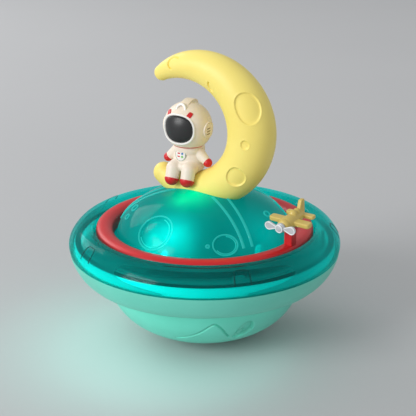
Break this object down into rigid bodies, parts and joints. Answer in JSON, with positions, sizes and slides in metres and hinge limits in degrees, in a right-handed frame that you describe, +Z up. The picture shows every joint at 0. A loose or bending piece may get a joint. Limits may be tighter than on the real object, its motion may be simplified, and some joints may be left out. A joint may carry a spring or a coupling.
{
  "type": "light up spinning top",
  "caption": "Saucer-shaped toy top on a bearing foot, with a lit clear dome, a crescent moon grip, a seated figure and a toy plane on an orbiting ring.",
  "frame": {"origin": "on the spin axis, on the surface that the foot stands on", "axes": "+Z up along the spin axis; the moon lies in the XZ plane and the figure faces -Y"},
  "size_m": [0.15, 0.15, 0.1601],
  "materials": {
    "mint": "satin",
    "clear_teal": "clear tinted plastic",
    "red": "satin",
    "yellow": "satin paint",
    "cream": "satin vinyl",
    "black": "gloss",
    "silver": "silver paint",
    "steel": "satin",
    "rubber": "matte",
    "white": "matte",
    "board": "solder mask",
    "chip": "matte",
    "glow": "lit lens",
    "green_glow": "lit lens",
    "cell": "polished"
  },
  "bodies": {
    "foot": {"foot_pad": "rubber", "foot_disc": "white", "spindle": "steel", "spindle_clip": "steel", "bearing_inner_race": "steel"},
    "top": {"bearing_outer_race": "steel", "bearing_balls": "steel", "skirt": "mint", "base_bowl": "mint", "flywheel_ring": "steel", "light_deck": "white", "casing_screw_1": "steel", "casing_screw_2": "steel", "casing_screw_3": "steel", "casing_screw_4": "steel", "clear_rim": "clear_teal", "light_guide_ring": "glow", "rim_clip_1": "clear_teal", "rim_clip_2": "clear_teal", "rim_clip_3": "clear_teal", "rim_clip_4": "clear_teal", "rim_clip_5": "clear_teal", "dome": "clear_teal", "lamp_drum": "white", "led_board": "board", "led_1": "glow", "led_2": "glow", "led_3": "glow", "led_4": "glow", "centre_led": "green_glow", "control_board": "board", "board_screw_1": "steel", "board_screw_2": "steel", "control_chip": "chip", "spin_sensor": "cell", "battery_door": "mint", "door_screw": "steel", "battery_tube": "white", "button_cell_1": "cell", "button_cell_2": "cell", "button_cell_3": "cell", "contact_plate": "steel", "contact_spring": "steel", "push_switch": "chip", "moon_front": "yellow", "moon_back": "yellow", "moon_mount": "white", "moon_screw_1": "steel", "moon_screw_2": "steel", "figure_body": "cream", "figure_backpack": "cream", "figure_helmet": "cream", "figure_visor": "black"},
    "orbit": {"orbit_ring": "red", "plane_body": "yellow", "propeller_pin": "steel"},
    "propeller": {"propeller": "silver"},
    "button": {"power_button": "red"}
  },
  "joints": [
    {"name": "top_spin", "type": "hinge", "parent": "foot", "child": "top", "pos_m": [0, 0, 0], "axis": [0, 0, 1], "continuous": true},
    {"name": "orbit_spin", "type": "hinge", "parent": "top", "child": "orbit", "pos_m": [0, 0, 0], "axis": [0, 0, 1], "continuous": true},
    {"name": "propeller_spin", "type": "hinge", "parent": "orbit", "child": "propeller", "pos_m": [0.05454, -0.02004, 0.07781], "axis": [-0.1558, -0.9839, -0.0872], "continuous": true},
    {"name": "button_press", "type": "slide", "parent": "top", "child": "button", "axis": [0.4218, -0.5027, 0.7546], "range_m": [0, 0.0012], "stiffness_N_per_m": 400, "springref_m": -0.0006}
  ]
}
